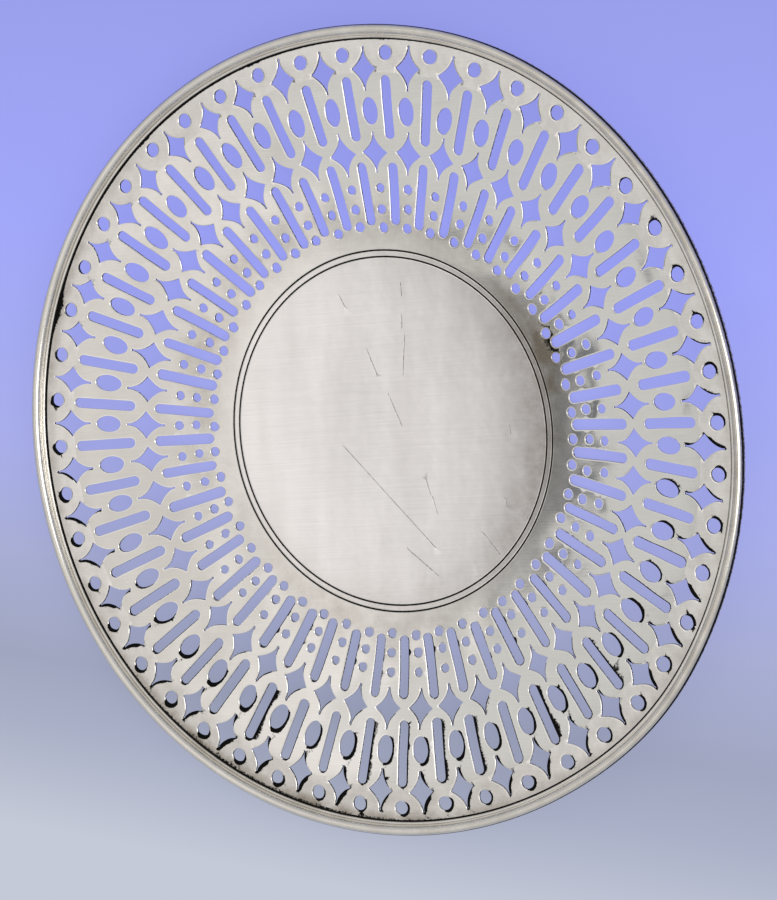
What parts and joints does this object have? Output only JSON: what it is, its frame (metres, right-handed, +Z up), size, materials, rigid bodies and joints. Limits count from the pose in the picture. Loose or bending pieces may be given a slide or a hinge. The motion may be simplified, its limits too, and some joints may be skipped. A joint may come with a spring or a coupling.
{
  "type": "pierced sandwich plate",
  "caption": "Round silver serving plate with a flat well, a flared rim pierced all round with stars, slots and holes, and an applied bead border.",
  "frame": {"origin": "centre of the underside of the well, where the plate rests", "axes": "+Z up along the plate's round axis; +X through the middle of a rim hole and its slots"},
  "size_m": [0.254, 0.254, 0.0173],
  "materials": {
    "silver_sheet": "polished sterling silver, finely scratched",
    "silver_wire": "polished drawn silver wire, tarnished in the step",
    "tarnished_solder": "silver solder, blackened"
  },
  "bodies": {
    "root": {"pierced_plate": "silver_sheet", "border_moulding": "silver_wire", "solder_seam": "tarnished_solder"}
  },
  "joints": []
}
